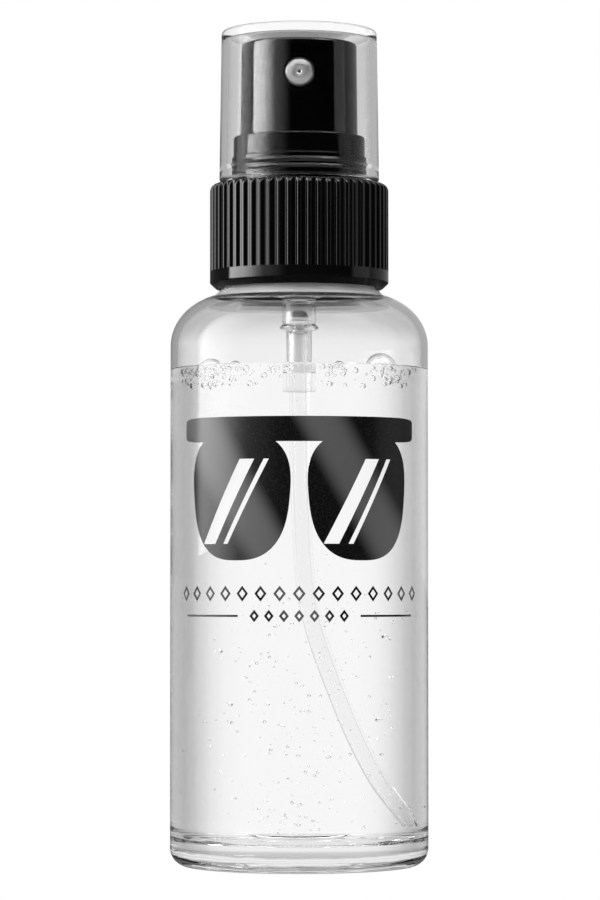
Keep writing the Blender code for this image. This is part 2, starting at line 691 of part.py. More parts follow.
def join_bodies():
    """Parents the parts the way they move: closure and plunger on the pump, head on the plunger."""
    bottle = join_to_axis("bottle_axis", 0.0, ("bottle", "cleaning_fluid"))
    held = ("pump_housing", "neck_gasket", "stem_collar", "dip_tube", "return_spring")
    pump = join_to_axis("pump_lift_axis", NECK_TOP_Z, held, bottle)
    closure = join_to_axis("closure_turn_axis", CLOSURE_Z, ("closure",), pump)
    join_to_axis("overcap_pull_axis", OVERCAP_Z, ("overcap",), closure)
    join_to_axis("inlet_ball_axis", BALL_SEAT_Z, ("inlet_ball",), pump)
    plunger = join_to_axis("press_axis", STEM_Z, ("pump_stem", "valve_rod"), pump)
    join_to_axis("piston_axis", PISTON_Z, ("piston",), plunger)
    join_to_axis("actuator_axis", ACTUATOR_Z, ("actuator", "nozzle_insert"), plunger)


def main():
    start_scene()
    make_bottle()
    make_cleaning_fluid()
    make_dip_tube()
    make_pump_housing()
    make_inlet_ball()
    make_return_spring()
    make_valve_rod()
    make_piston()
    make_pump_stem()
    make_neck_gasket()
    make_stem_collar()
    make_closure()
    make_actuator()
    make_nozzle_insert()
    make_overcap()
    join_bodies()


main()
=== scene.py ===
"""Looks of the lens cleaning spray: clear bottle and fluid, black closure and pump, clear overcap.

Lengths are in metres, built from named sizes in millimetres times MM. Angles are in radians
unless a name or a comment says degrees. Nothing here moves a CAD part.
"""

import random
from math import atan, cos, hypot, pi, radians, sin, tan, tau

import bmesh
import bpy
import numpy as np
from mathutils import Matrix, Vector, geometry


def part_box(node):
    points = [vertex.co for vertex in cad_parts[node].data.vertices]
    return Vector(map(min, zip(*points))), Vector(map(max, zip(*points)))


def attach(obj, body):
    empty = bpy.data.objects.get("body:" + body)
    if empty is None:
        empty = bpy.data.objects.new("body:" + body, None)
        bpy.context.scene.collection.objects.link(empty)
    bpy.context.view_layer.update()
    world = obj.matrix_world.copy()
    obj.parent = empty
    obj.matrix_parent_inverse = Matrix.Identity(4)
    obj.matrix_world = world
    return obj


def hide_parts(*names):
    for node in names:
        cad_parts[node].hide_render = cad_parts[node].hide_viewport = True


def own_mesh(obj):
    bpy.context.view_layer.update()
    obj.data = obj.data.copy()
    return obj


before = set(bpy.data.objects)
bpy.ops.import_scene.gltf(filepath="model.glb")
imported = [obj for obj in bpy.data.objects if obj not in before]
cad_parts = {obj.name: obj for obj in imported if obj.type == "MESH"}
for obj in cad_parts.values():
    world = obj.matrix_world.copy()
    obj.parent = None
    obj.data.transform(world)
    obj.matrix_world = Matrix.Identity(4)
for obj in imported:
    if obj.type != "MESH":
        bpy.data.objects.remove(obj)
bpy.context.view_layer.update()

MM = 0.001
DEGREES = 180.0 / pi

# Bottle, taken from the frame where the frame states it
BOTTLE_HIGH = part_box("bottle")[1]
BODY_RADIUS = BOTTLE_HIGH.x
NECK_TOP_Z = BOTTLE_HIGH.z
WALL = 1.0 * MM
BASE_CORNER = 2.8 * MM
FLOOR_Z = 4.0 * MM
FLOOR_CORNER = 2.6 * MM
FOOT_INNER_RADIUS = 13.6 * MM
PUSH_UP = 0.8 * MM
GATE_RING_RADIUS = 5.8 * MM
SHOULDER_Z = 80.5 * MM
SHOULDER_CREST_Z = 88.3 * MM
SHOULDER_CREST_RADIUS = 13.3 * MM
NECK_FOOT_Z = 90.4 * MM
NECK_RADIUS = 10.75 * MM
NECK_BORE = 8.6 * MM
THREAD_PITCH = 3.175 * MM
THREAD_TURNS = 1.5
THREAD_Z = 93.6 * MM
THREAD_HEIGHT = 0.85 * MM

# Fluid
FILL_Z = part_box("cleaning_fluid")[1].z
MENISCUS = 0.1 * MM

# Refractive indices: plastic against air, fluid against air, dry thin walls and the overcap, which
# bend less so that their edges stay light, and natural plastic against fluid
PLASTIC_IOR = 1.5
WATER_IOR = 1.34
THIN_IOR = 1.26
OVERCAP_IOR = 1.2
WET_IOR = 1.045

# Closure
CLOSURE_LOW, CLOSURE_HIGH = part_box("closure")
CLOSURE_RADIUS = CLOSURE_HIGH.x
CLOSURE_Z = CLOSURE_LOW.z
SEAT_TOP_Z = CLOSURE_HIGH.z
RIB_COUNT = 56
RIB_DEPTH = 0.5 * MM
RIB_Z = 92.1 * MM
DECK_TOP_Z = 105.7 * MM

# Pump
HOUSING_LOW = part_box("pump_housing")[0]

# Actuator and nozzle
ACTUATOR_LOW, ACTUATOR_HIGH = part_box("actuator")
NOZZLE_LOW, NOZZLE_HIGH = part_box("nozzle_insert")
NOZZLE_Z = (NOZZLE_LOW.z + NOZZLE_HIGH.z) / 2.0
NOZZLE_RADIUS = (NOZZLE_HIGH.z - NOZZLE_LOW.z) / 2.0

# Overcap
OVERCAP_LOW, OVERCAP_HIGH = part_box("overcap")
OVERCAP_WALL = 1.1 * MM


# ---------------------------------------------------------------- mesh helpers

def add_object(name, mesh):
    """Links a mesh as an object."""
    piece = bpy.data.objects.new(name, mesh)
    bpy.context.scene.collection.objects.link(piece)
    return piece


def shade(mesh, sharp_degrees=40.0):
    """Smooth shading with the edges above an angle kept sharp."""
    mesh.shade_smooth()
    mesh.set_sharp_from_angle(angle=radians(sharp_degrees))


def rounded(corners, steps=4):
    """(radius, height, fillet) corners as (radius, height) points, with each fillet as an arc."""
    points = []
    for i, (r, z, fillet) in enumerate(corners):
        if fillet == 0.0 or i in (0, len(corners) - 1):
            points.append((r, z))
            continue
        here = Vector((r, z))
        to_before = (Vector(corners[i - 1][:2]) - here).normalized()
        to_after = (Vector(corners[i + 1][:2]) - here).normalized()
        half = to_before.angle(to_after) / 2.0
        centre = here + (to_before + to_after).normalized() * fillet / sin(half)
        start = (here + to_before * fillet / tan(half) - centre).normalized()
        end = (here + to_after * fillet / tan(half) - centre).normalized()
        for step in range(steps + 1):
            points.append(tuple(centre + start.slerp(end, step / steps) * fillet))
    return points


def dense(profile, longest):
    """The same outline with extra points, so that no stretch is longer than longest."""
    points = [profile[0]]
    for before, after in zip(profile, profile[1:]):
        pieces = max(1, int(hypot(after[0] - before[0], after[1] - before[1]) / longest + 0.999))
        for k in range(1, pieces + 1):
            share = k / pieces
            points.append(tuple(before[a] + (after[a] - before[a]) * share for a in (0, 1)))
    return points


def solid_mesh(name, verts, faces, sharp_degrees):
    """A shaded mesh with all its faces pointing out."""
    mesh = bpy.data.meshes.new(name)
    mesh.from_pydata(verts, [], faces)
    shape = bmesh.new()
    shape.from_mesh(mesh)
    bmesh.ops.recalc_face_normals(shape, faces=shape.faces)
    shape.to_mesh(mesh)
    shape.free()
    shade(mesh, sharp_degrees)
    return mesh


def lathe(name, profile, steps, relief=None, zone=None, loop=False):
    """A closed mesh turned about Z. The profile of (radius, height) runs down its outer side.

    relief changes the radius by (angle, radius, height); zone gives the material slot of a
    stretch by its two points; loop joins the profile's last point to its first.
    """
    rows = np.array(profile, float)
    angles = np.arange(steps) * tau / steps
    radius = np.repeat(rows[:, :1], steps, axis=1)
    height = np.repeat(rows[:, 1:], steps, axis=1)
    if relief is not None:
        radius = relief(angles[None, :], radius, height)
    spokes = np.stack((radius * np.cos(angles), radius * np.sin(angles), height), axis=2)
    verts, index = [], []
    for row, ring in enumerate(spokes.tolist()):
        if rows[row, 0] < 1e-9:
            index.append([len(verts)] * steps)
            verts.append(ring[0])
        else:
            index.append(list(range(len(verts), len(verts) + steps)))
            verts += ring
    faces, slots = [], []
    pairs = list(zip(range(len(rows) - 1), range(1, len(rows))))
    if loop:
        pairs.append((len(rows) - 1, 0))
    for upper, lower in pairs:
        above, below = index[upper], index[lower]
        after = above[1:] + above[:1], below[1:] + below[:1]
        if above[0] == above[1]:
            ring = list(zip(above, below, after[1]))
        elif below[0] == below[1]:
            ring = list(zip(above, below, after[0]))
        else:
            ring = list(zip(above, below, after[1], after[0]))
        faces += ring
        slots += [zone(rows[upper], rows[lower]) if zone else 0] * len(ring)
    mesh = bpy.data.meshes.new(name)
    mesh.from_pydata(verts, [], faces)
    mesh.polygons.foreach_set("material_index", slots)
    shade(mesh)
    return add_object(name, mesh)


def arc(centre_radius, centre_z, radius, start, end, count):
    """Points along an arc in the (radius, height) plane; degrees from outwards towards up."""
    points = []
    for i in range(count + 1):
        angle = radians(start + (end - start) * i / count)
        points.append((centre_radius + radius * cos(angle), centre_z + radius * sin(angle)))
    return points


def apply_modifiers(piece):
    """Replaces the mesh with its evaluated form and removes the modifiers."""
    evaluated = piece.evaluated_get(bpy.context.evaluated_depsgraph_get())
    mesh = bpy.data.meshes.new_from_object(evaluated)
    piece.modifiers.clear()
    piece.data = mesh
    return piece


def combine(piece, tool, operation):
    """Joins a tool object to a piece, or cuts it away, and removes the tool."""
    boolean = piece.modifiers.new(operation, "BOOLEAN")
    boolean.operation = operation
    boolean.solver = "EXACT"
    boolean.object = tool
    apply_modifiers(piece)
    bpy.data.objects.remove(tool)
    return piece


def rod_along_y(radius, start_y, end_y, height, sides):
    """A round bar along Y, as a tool."""
    shape = bmesh.new()
    bmesh.ops.create_cone(
        shape, cap_ends=True, segments=sides, radius1=radius, radius2=radius,
        depth=abs(end_y - start_y),
        matrix=Matrix.Translation((0.0, (start_y + end_y) / 2.0, height))
        @ Matrix.Rotation(pi / 2.0, 4, "X"),
    )
    mesh = bpy.data.meshes.new("rod")
    shape.to_mesh(mesh)
    shape.free()
    return add_object("rod", mesh)


def thread_relief(start_z, height, sign):
    """A relief that raises a helical thread by height, outwards (sign 1) or inwards (-1)."""
    half_width = 0.85 * MM
    fade = 0.06

    def relief(angle, radius, z):
        raised = np.zeros_like(radius)
        for turn in range(2):
            along = angle / tau + turn
            crest = start_z + THREAD_PITCH * along
            profile = np.clip(1.0 - ((z - crest) / half_width) ** 2, 0.0, 1.0) ** 0.6
            start = np.clip(along / fade, 0.0, 1.0)
            end = np.clip((THREAD_TURNS - along) / fade, 0.0, 1.0)
            raised = np.maximum(raised, profile * start * end)
        return radius + sign * height * raised

    return relief


# ---------------------------------------------------------------- material helpers

class Nodes:
    """A short way to write a shader node tree."""

    def __init__(self, tree):
        self.tree = tree
        tree.nodes.clear()

    def add(self, kind, **inputs):
        node = self.tree.nodes.new(kind)
        for key, value in inputs.items():
            self.set(node, key.replace("_", " "), value)
        return node

    def set(self, node, socket, value):
        target = node.inputs[socket]
        if isinstance(value, bpy.types.NodeSocket):
            self.tree.links.new(value, target)
        else:
            target.default_value = value

    def math(self, operation, a, b=0.0, clamp=False):
        node = self.tree.nodes.new("ShaderNodeMath")
        node.operation = operation
        node.use_clamp = clamp
        self.set(node, 0, a)
        self.set(node, 1, b)
        return node.outputs[0]

    def total(self, first, *others):
        for other in others:
            first = self.math("ADD", first, other)
        return first

    def product(self, first, *others):
        for other in others:
            first = self.math("MULTIPLY", first, other)
        return first

    def span(self, value, low, high, to_low=0.0, to_high=1.0, kind="SMOOTHSTEP"):
        node = self.tree.nodes.new("ShaderNodeMapRange")
        node.interpolation_type = kind
        for socket, number in enumerate((value, low, high, to_low, to_high)):
            self.set(node, socket, number)
        return node.outputs[0]

    def mix(self, factor, a, b):
        node = self.tree.nodes.new("ShaderNodeMix")
        node.data_type = "RGBA"
        for socket, value in ((0, factor), (6, a), (7, b)):
            self.set(node, socket, value)
        return node.outputs[2]

    def ramp(self, value, steps):
        """A smooth grey ramp through (position, tone) steps."""
        node = self.add("ShaderNodeValToRGB", Fac=value)
        node.color_ramp.interpolation = "CARDINAL"
        elements = node.color_ramp.elements
        while len(elements) < len(steps):
            elements.new(0.5)
        for element, (position, tone) in zip(elements, steps):
            element.position = position
            element.color = grey(tone)
        return node.outputs["Color"]

    def noise(self, scale, detail=2.0):
        place = self.add("ShaderNodeTexCoord").outputs["Object"]
        node = self.add("ShaderNodeTexNoise", Vector=place, Scale=scale, Detail=detail)
        return node.outputs["Fac"]

    def bump(self, height, strength, distance):
        node = self.add("ShaderNodeBump", Height=height, Strength=strength, Distance=distance)
        return node.outputs["Normal"]


def grey(value):
    return (value, value, value, 1.0)


def new_material(name):
    material = bpy.data.materials.new(name)
    material.use_nodes = True
    return material, Nodes(material.node_tree)


def clear_plastic(
    name, ior, tone=1.0, shine=1.0, ripple=0.0, edge=(), roughness=0.0, waves=90.0
):
    """Clear moulded plastic or fluid.

    shine scales its reflections, ripple is the height of its faint waviness and waves how fine
    that is. edge lists (facing, tone) steps of painted shade from the middle, where facing is 0, to
    the outline.
    """
    material, n = new_material(name)
    shader = n.add(
        "ShaderNodeBsdfPrincipled", Base_Color=grey(tone), Roughness=roughness, IOR=ior,
        Specular_Tint=grey(shine),
    )
    shader.inputs["Transmission Weight"].default_value = 1.0
    if edge:
        # The facing ramp paints shade towards the outline, in place of the surroundings a real wall
        # bends into view
        layer = n.add("ShaderNodeLayerWeight", Blend=0.5)
        n.set(shader, "Base Color", n.ramp(layer.outputs["Facing"], edge))
    if ripple > 0.0:
        n.set(shader, "Normal", n.bump(n.noise(waves, 1.0), 0.35, ripple))
    n.add("ShaderNodeOutputMaterial", Surface=shader.outputs[0])
    return material


def black_plastic(name, tone, roughness, grain, ior=1.5):
    """Black moulded plastic: gloss that varies a little, with a very fine grain."""
    material, n = new_material(name)
    cloud = n.noise(260.0, 3.0)
    shader = n.add("ShaderNodeBsdfPrincipled", IOR=ior)
    n.set(shader, "Base Color", n.mix(cloud, grey(tone * 0.7), grey(tone * 1.3)))
    n.set(shader, "Roughness", n.span(cloud, 0.3, 0.7, roughness * 0.85, roughness * 1.15))
    n.set(shader, "Normal", n.bump(n.noise(2600.0, 2.0), 0.25, grain))
    n.add("ShaderNodeOutputMaterial", Surface=shader.outputs[0])
    return material


def pale_plastic(name, tone, roughness, clear):
    """Natural polypropylene: milky, more or less see-through."""
    material, n = new_material(name)
    cloud = n.noise(400.0, 2.0)
    shader = n.add("ShaderNodeBsdfPrincipled", IOR=1.49)
    shader.inputs["Transmission Weight"].default_value = clear
    n.set(shader, "Base Color", n.mix(cloud, grey(tone * 0.96), grey(tone)))
    n.set(shader, "Roughness", n.span(cloud, 0.3, 0.7, roughness * 0.9, roughness * 1.1))
    n.add("ShaderNodeOutputMaterial", Surface=shader.outputs[0])
    return material


def metal(name, tone, roughness, metallic):
    """Bright metal or metal-look plastic with fine turning marks."""
    material, n = new_material(name)
    cloud = n.noise(900.0, 3.0)
    shader = n.add("ShaderNodeBsdfPrincipled", Metallic=metallic)
    n.set(shader, "Base Color", n.mix(cloud, grey(tone * 0.92), grey(tone)))
    n.set(shader, "Roughness", n.span(cloud, 0.3, 0.7, roughness * 0.8, roughness * 1.2))
    n.add("ShaderNodeOutputMaterial", Surface=shader.outputs[0])
    return material


def ink_with_painted_sheen():
    """Black screen ink with a painted sheen: greyer in soft slanted bands."""
    material, n = new_material("ink")
    place = n.add("ShaderNodeTexCoord")
    axes = n.add("ShaderNodeSeparateXYZ", Vector=place.outputs["Object"])
    # Painted sheen: soft slanted bands where the ink turns greyer
    slant = n.math("ADD", axes.outputs["X"], n.math("MULTIPLY", axes.outputs["Z"], 0.55))
    wave = n.math("SINE", n.math("ADD", n.math("MULTIPLY", slant, 330.0), 0.6))
    band = n.span(wave, -0.1, 1.0)
    shader = n.add("ShaderNodeBsdfPrincipled", Roughness=0.22, IOR=1.3)
    speck = n.span(n.noise(5000.0, 1.0), 0.45, 0.75)
    tone = n.mix(band, grey(0.002), grey(0.07))
    n.set(shader, "Base Color", n.mix(n.math("MULTIPLY", speck, 0.15), tone, grey(0.05)))
    n.add("ShaderNodeOutputMaterial", Surface=shader.outputs[0])
    return material


# ---------------------------------------------------------------- bottle and fluid

# Tone of the bottle's wall from the middle to the outline. It is painted shade: mostly the dark
# surroundings that the real wall bends into view near its outline, with a dark band partway out,
# and a little the longer path through plastic seen edge-on
BOTTLE_EDGE_SHADE = (
    (0.0, 0.94), (0.12, 0.93), (0.215, 0.82), (0.296, 0.64), (0.4, 0.43),
    (0.48, 0.34), (0.57, 0.34), (0.69, 0.56), (0.8, 0.8), (1.0, 0.9),
)

# The same painted edge shade for its dry part, above the fluid
SHOULDER_EDGE_SHADE = ((0.0, 0.94), (0.3, 0.86), (0.5, 0.74), (0.7, 0.78), (1.0, 0.95))


def shoulder(offset, steps):
    """The shoulder from its crest down to the straight wall, moved inwards by offset."""
    sweep = BODY_RADIUS - SHOULDER_CREST_RADIUS
    rise = SHOULDER_CREST_Z - SHOULDER_Z
    last = 0.4 * pi
    points = []
    for step in range(steps, -1, -1):
        angle = last * step / steps
        r = BODY_RADIUS - sweep * (1.0 - cos(angle)) / (1.0 - cos(last))
        z = SHOULDER_Z + rise * sin(angle) / sin(last)
        points.append((r - offset * cos(angle), z - offset * sin(angle)))
    return points


def make_bottle():
    """The bottle. Its wet inner wall takes the fluid's own index, relative to the plastic."""
    inner_radius = BODY_RADIUS - WALL
    ring = 0.5 * MM
    floor = [
        (0.0, FLOOR_Z + 0.5 * MM, 0.0),
        (GATE_RING_RADIUS - 2.0 * ring, FLOOR_Z + 0.7 * MM, ring),
        (GATE_RING_RADIUS, FLOOR_Z + 0.9 * MM, 0.3 * MM),
        (GATE_RING_RADIUS + 1.2 * ring, FLOOR_Z + 0.15 * MM, ring),
        (inner_radius - FLOOR_CORNER, FLOOR_Z, 0.0),
    ]
    inner = rounded(floor)
    corner = arc(inner_radius - FLOOR_CORNER, FLOOR_Z + FLOOR_CORNER, FLOOR_CORNER, -90, 0, 12)
    inner += corner[1:]
    inner += [(inner_radius, FILL_Z), (inner_radius, FILL_Z + MENISCUS)]
    inner += shoulder(WALL, 20)[::-1]
    inner += rounded([
        (*inner[-1], 0.0),
        (NECK_BORE, NECK_FOOT_Z - WALL, 0.8 * MM),
        (NECK_BORE, NECK_TOP_Z, 0.0),
    ])[1:]
    outer = rounded([
        (NECK_BORE, NECK_TOP_Z, 0.0),
        (NECK_RADIUS, NECK_TOP_Z, 0.3 * MM),
        (NECK_RADIUS, NECK_FOOT_Z, 0.5 * MM),
        (*shoulder(0.0, 20)[0], 0.0),
    ])[1:]
    outer = dense(outer, 0.3 * MM)
    outer += shoulder(0.0, 20)[1:]
    outer += [(BODY_RADIUS, FILL_Z + MENISCUS)]
    outer += arc(BODY_RADIUS - BASE_CORNER, BASE_CORNER, BASE_CORNER, 0, -90, 12)
    dome = rounded([
        (BODY_RADIUS - BASE_CORNER, 0.0, 0.0),
        (FOOT_INNER_RADIUS, 0.0, 0.4 * MM),
        (FOOT_INNER_RADIUS - 2.0 * PUSH_UP, PUSH_UP, 0.6 * MM),
        (GATE_RING_RADIUS, PUSH_UP, 0.3 * MM),
        (GATE_RING_RADIUS - ring, PUSH_UP + 0.4 * MM, 0.3 * MM),
        (0.0, PUSH_UP + 0.4 * MM, 0.0),
    ])
    outer += dome[1:]
    thread = thread_relief(THREAD_Z, THREAD_HEIGHT, 1.0)

    def relief(angle, radius, z):
        on_neck = (z > NECK_FOOT_Z + MM) & (radius > NECK_BORE + 0.5 * MM)
        return np.where(on_neck, thread(angle, radius, z), radius)

    inner_points = {(round(r, 9), round(z, 9)) for r, z in inner}

    # Material slots, in the order in which the materials are added below
    wet_outside, wet_inside, dry_inside, dry_outside, foot, neck_slope = range(6)

    def zone(upper, lower):
        wet = max(upper[1], lower[1]) <= FILL_Z + MENISCUS + 1e-6
        if all((round(r, 9), round(z, 9)) in inner_points for r, z in (upper, lower)):
            return wet_inside if wet else dry_inside
        middle = (upper[1] + lower[1]) / 2.0
        if SHOULDER_CREST_Z - 0.3 * MM < middle < NECK_FOOT_Z + 0.3 * MM:
            return neck_slope
        if max(upper[1], lower[1]) < FLOOR_Z:
            return foot
        return wet_outside if wet else dry_outside

    bottle = lathe("bottle_shell", inner + outer, 192, relief, zone)
    for material in (
        clear_plastic("bottle_outside", PLASTIC_IOR, 1.0, 0.05, 0.02 * MM, BOTTLE_EDGE_SHADE),
        clear_plastic("bottle_wet_inside", PLASTIC_IOR / WATER_IOR, 0.99),
        clear_plastic("bottle_dry_inside", THIN_IOR, 0.95, 0.08),
        clear_plastic("bottle_shoulder", THIN_IOR, 1.0, 0.13, 0.02 * MM, SHOULDER_EDGE_SHADE),
        # The foot's darker tone is partly the thicker plastic and partly painted shade for the
        # greys the thick base bends into view
        clear_plastic("bottle_foot_shaded", PLASTIC_IOR, 0.8, 0.3, 0.3 * MM, waves=260.0),
        pale_plastic("bottle_neck", 0.45, 0.1, 0.45),
    ):
        bottle.data.materials.append(material)
    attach(bottle, "bottle")
    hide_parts("bottle")


def make_fluid():
    """The fluid, with a meniscus up the wall.

    Only its surface bends light, because its sides touch the wall.
    """
    radius = BODY_RADIUS - WALL
    profile = [(0.0, FILL_Z), (radius - 5.0 * MENISCUS, FILL_Z)]
    for step in range(1, 9):
        share = step / 8
        out = radius - 5.0 * MENISCUS * (1.0 - share)
        profile.append((out, FILL_Z + MENISCUS * share**3.5))
    profile = dense(profile, 2.0 * MM)
    surface_rows = len(profile)
    profile += arc(radius - FLOOR_CORNER, FLOOR_Z + FLOOR_CORNER, FLOOR_CORNER, 0, -90, 12)
    profile += [(GATE_RING_RADIUS + MM, FLOOR_Z + MM), (0.0, FLOOR_Z + MM)]
    surface = {(round(r, 9), round(z, 9)) for r, z in profile[:surface_rows]}

    def zone(upper, lower):
        on_surface = all((round(p[0], 9), round(p[1], 9)) in surface for p in (upper, lower))
        return 0 if on_surface else 1

    fluid = lathe("cleaning_fluid_body", profile, 160, None, zone)
    fluid.data.materials.append(clear_plastic("fluid_surface", WATER_IOR))
    fluid.data.materials.append(clear_plastic("fluid_side", 1.0))
    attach(fluid, "bottle")
    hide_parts("cleaning_fluid")


def add_bubble(shape, centre, radius, subdivisions=2):
    bmesh.ops.create_icosphere(
        shape, subdivisions=subdivisions, radius=radius, matrix=Matrix.Translation(centre)
    )


def make_bubbles():
    """Air bubbles in the fluid: fine ones low down, and clusters just under the surface."""
    rng = random.Random(11)
    shape = bmesh.new()
    placed = []
    limit = BODY_RADIUS - WALL - 0.15 * MM

    def try_add(x, y, z, radius):
        if hypot(x, y) + radius > limit or z - radius < FLOOR_Z + 0.6 * MM:
            return
        if z + radius > FILL_Z - 0.05 * MM:
            return
        for cx, cy, cz, cr in placed:
            if (x - cx) ** 2 + (y - cy) ** 2 + (z - cz) ** 2 < (radius + cr + 0.02 * MM) ** 2:
                return
        placed.append((x, y, z, radius))
        add_bubble(shape, (x, y, z), radius, 3 if radius > 0.3 * MM else 2)

    front_and_back = (0.985, 0.95, 0.8, 0.5, -0.3, -0.9)
    for _ in range(420):
        x = rng.gauss(0.5, 6.5) * MM
        z = (6.0 + 36.0 * rng.random() ** 1.2) * MM
        y = -(limit**2 - min(x * x, limit**2)) ** 0.5 * rng.choice(front_and_back)
        try_add(x, y, z, (0.06 + 0.24 * rng.random() ** 2) * MM)
    for _ in range(60):
        x = rng.gauss(0.0, 8.0) * MM
        z = rng.uniform(42.0, 76.0) * MM
        y = -(limit**2 - min(x * x, limit**2)) ** 0.5 * rng.choice((0.97, 0.6, -0.5))
        try_add(x, y, z, rng.uniform(0.05, 0.13) * MM)
    try_add(2.7 * MM, -17.8 * MM, 7.6 * MM, 0.62 * MM)
    clusters = ((-46.0, 11.0, 190), (18.0, 5.0, 30), (48.0, 10.0, 60), (-14.0, 10.0, 24))
    for middle, spread, count in clusters:
        for _ in range(count):
            angle = radians(rng.gauss(middle, spread))
            radius = (0.14 + 0.42 * rng.random() ** 1.7) * MM
            out = limit - radius - rng.random() ** 2 * 3.0 * MM
            z = FILL_Z - radius - rng.random() ** 1.8 * 2.8 * MM - 0.06 * MM
            try_add(out * sin(angle), -out * cos(angle), z, radius)
    mesh = bpy.data.meshes.new("bubbles")
    shape.to_mesh(mesh)
    shape.free()
    mesh.shade_smooth()
    bubbles = add_object("air_bubbles", mesh)
    bubbles.data.materials.append(clear_plastic("bubble_air", 1.0 / WATER_IOR))
    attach(bubbles, "bottle")


def make_surface_domes():
    """Thin bubble films that stand on the fluid's surface.

    Each is (degrees from the front, distance from the axis, radius at its foot, height).
    """
    film = 0.1 * MM
    for i, (angle, out, radius, height) in enumerate((
        (-51.0, 17.1, 1.7, 1.2),
        (48.0, 16.5, 2.3, 2.0),
        (-33.0, 17.6, 0.9, 0.6),
        (20.0, 17.4, 0.8, 0.5),
    )):
        base, rise = radius * MM, height * MM
        ball = (base * base + rise * rise) / (2.0 * rise)
        lean = atan((ball - rise) / base) * DEGREES
        outer = arc(0.0, rise - ball, ball, 90, lean, 14)
        inner = arc(0.0, rise - ball, ball - film, lean, 90, 14)
        outer[0] = (0.0, outer[0][1])
        inner[-1] = (0.0, inner[-1][1])
        dome = lathe(f"surface_bubble_{i}", outer + inner, 48)
        turn = radians(angle)
        dome.location = (out * MM * sin(turn), -out * MM * cos(turn), FILL_Z - 0.02 * MM)
        dome.data.materials.append(clear_plastic(f"bubble_film_{i}", WATER_IOR))
        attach(dome, "bottle")


# ---------------------------------------------------------------- print

def flat_shape(outlines, depth):
    """A flat prism from closed outlines in the plane, where an outline inside another is a hole."""
    curve = bpy.data.curves.new("outline", "CURVE")
    curve.dimensions = "2D"
    curve.fill_mode = "BOTH"
    curve.extrude = depth / 2.0
    for outline in outlines:
        spline = curve.splines.new("POLY")
        spline.points.add(len(outline) - 1)
        for point, (u, v) in zip(spline.points, outline):
            point.co = (u, v, 0.0, 1.0)
        spline.use_cyclic_u = True
    piece = bpy.data.objects.new("outline", curve)
    bpy.context.scene.collection.objects.link(piece)
    evaluated = piece.evaluated_get(bpy.context.evaluated_depsgraph_get())
    mesh = bpy.data.meshes.new_from_object(evaluated)
    bpy.data.objects.remove(piece)
    shape = bmesh.new()
    shape.from_mesh(mesh)
    bmesh.ops.remove_doubles(shape, verts=shape.verts, dist=1e-7)
    bmesh.ops.recalc_face_normals(shape, faces=shape.faces)
    shape.to_mesh(mesh)
    shape.free()
    return add_object("flat_shape", mesh)


def oval(u, v, half_width, half_height, power, taper=0.0):
    """A rounded outline between an ellipse (power 2) and a rectangle, narrower below with taper."""
    count = 96
    points = []
    for i in range(count):
        c, s = cos(tau * i / count), sin(tau * i / count)
        x = abs(c) ** (2.0 / power) * (1 if c > 0 else -1)
        y = abs(s) ** (2.0 / power) * (1 if s > 0 else -1)
        points.append((u + half_width * x * (1.0 + taper * y), v + half_height * y))
    return points


def box_outline(left, right, low, high):
    return [(left, low), (right, low), (right, high), (left, high)]


def wrap_on_bottle(piece, name):
    """Cuts a flat shape into narrow strips and lays it on the bottle's front as a film of ink."""
    ink_gap = 0.012 * MM
    strip = 0.4 * MM
    shape = bmesh.new()
    shape.from_mesh(piece.data)
    edge = max(abs(vert.co.x) for vert in shape.verts)
    cuts = int(edge / strip)
    for k in range(-cuts, cuts + 1):
        everything = list(shape.verts) + list(shape.edges) + list(shape.faces)
        bmesh.ops.bisect_plane(
            shape, geom=everything, dist=1e-8,
            plane_co=(k * strip, 0.0, 0.0), plane_no=(1.0, 0.0, 0.0),
        )
    low = min(vert.co.z for vert in shape.verts)
    for vert in shape.verts:
        u, v, depth = vert.co
        r = BODY_RADIUS + ink_gap + (depth - low)
        vert.co = (r * sin(u / BODY_RADIUS), -r * cos(u / BODY_RADIUS), v)
    bmesh.ops.recalc_face_normals(shape, faces=shape.faces)
    mesh = bpy.data.meshes.new(name)
    shape.to_mesh(mesh)
    shape.free()
    bpy.data.objects.remove(piece)
    return add_object(name, mesh)


